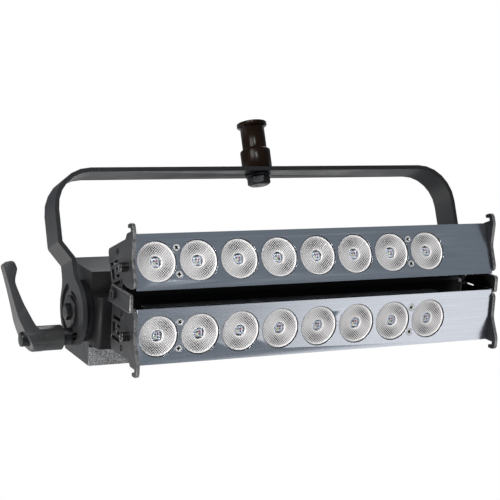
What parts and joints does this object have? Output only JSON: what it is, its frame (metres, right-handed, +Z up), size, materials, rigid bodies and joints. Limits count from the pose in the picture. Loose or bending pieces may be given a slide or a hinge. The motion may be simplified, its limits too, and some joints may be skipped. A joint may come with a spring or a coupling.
{
  "type": "articulated led light panel",
  "caption": "Stage light with two hinged rows of lensed LEDs on a driver box that tilts in a flat-bar yoke under a spigot, clamped by a side lever.",
  "frame": {"origin": "centre of the spigot's flat top face", "axes": "+Z up along the spigot, -Y the way the light shines, +X along the rows, to the right as seen from the front"},
  "size_m": [0.4643, 0.1734, 0.2421],
  "materials": {
    "gloss_black_metal": "gloss brown-black",
    "black_steel": "blackened steel",
    "powder_coat": "satin dark grey powder coat",
    "black_plastic": "satin black",
    "bright_steel": "bright",
    "galvanised_steel": "galvanised",
    "circuit_board": "solder mask",
    "black_aluminium": "black anodised",
    "brushed_aluminium": "brushed blue-grey anodised",
    "lens_plastic": "clear, with a finely dimpled front"
  },
  "bodies": {
    "spigot": {"spigot": "gloss_black_metal", "spigot_bolt": "black_steel", "spigot_washer": "black_steel"},
    "yoke": {"yoke": "powder_coat"},
    "head": {"friction_disc_left": "black_plastic", "friction_disc_right": "black_plastic", "pivot_bolt_left": "black_steel", "pivot_bolt_right": "black_steel", "pivot_washer_left": "black_steel", "pivot_washer_right": "black_steel", "driver_box": "powder_coat", "rear_cover": "powder_coat", "driver_board": "circuit_board", "power_supply": "galvanised_steel", "neck": "powder_coat", "mounting_rail": "galvanised_steel", "power_inlet": "black_plastic", "data_socket_in": "black_plastic", "data_socket_out": "black_plastic", "hinge_bracket_left": "powder_coat", "hinge_bracket_right": "powder_coat", "hinge_screw_left": "black_steel", "hinge_screw_right": "black_steel", "lever_stud": "bright_steel", "lower_heat_sink": "black_aluminium", "lower_led_board": "circuit_board", "lower_face_plate": "brushed_aluminium", "lower_lens_1": "lens_plastic", "lower_lens_2": "lens_plastic", "lower_lens_3": "lens_plastic", "lower_lens_4": "lens_plastic", "lower_lens_5": "lens_plastic", "lower_lens_6": "lens_plastic", "lower_lens_7": "lens_plastic", "lower_lens_8": "lens_plastic", "lower_face_screw_1": "bright_steel", "lower_face_screw_2": "bright_steel", "lower_face_screw_3": "bright_steel", "lower_face_screw_4": "bright_steel", "lower_end_plate_left": "powder_coat", "lower_end_plate_right": "powder_coat"},
    "upper_row": {"upper_heat_sink": "black_aluminium", "upper_led_board": "circuit_board", "upper_face_plate": "brushed_aluminium", "upper_lens_1": "lens_plastic", "upper_lens_2": "lens_plastic", "upper_lens_3": "lens_plastic", "upper_lens_4": "lens_plastic", "upper_lens_5": "lens_plastic", "upper_lens_6": "lens_plastic", "upper_lens_7": "lens_plastic", "upper_lens_8": "lens_plastic", "upper_face_screw_1": "bright_steel", "upper_face_screw_2": "bright_steel", "upper_face_screw_3": "bright_steel", "upper_face_screw_4": "bright_steel", "upper_end_plate_left": "powder_coat", "upper_end_plate_right": "powder_coat"},
    "lever_core": {"lever_core": "black_steel"},
    "lever_handle": {"clamp_lever": "black_plastic"}
  },
  "joints": [
    {"name": "pan", "type": "hinge", "parent": "spigot", "child": "yoke", "pos_m": [0, 0, -0.0466], "axis": [0, 0, 1], "continuous": true},
    {"name": "tilt", "type": "hinge", "parent": "yoke", "child": "head", "pos_m": [0, 0, -0.1716], "axis": [1, 0, 0], "range_deg": [-37, 148]},
    {"name": "row_hinge", "type": "hinge", "parent": "head", "child": "upper_row", "pos_m": [0, -0.06639, -0.16939], "axis": [-1, 0, 0], "range_deg": [-22.4, 22.6]},
    {"name": "lever_turn", "type": "hinge", "parent": "head", "child": "lever_core", "pos_m": [-0.1995, 0.00897, -0.19223], "axis": [-1, 0, 0], "range_deg": [0, 150]},
    {"name": "lever_lift", "type": "slide", "parent": "lever_core", "child": "lever_handle", "axis": [-1, 0, 0], "range_m": [0, 0.004], "stiffness_N_per_m": 800, "springref_m": -0.002}
  ]
}
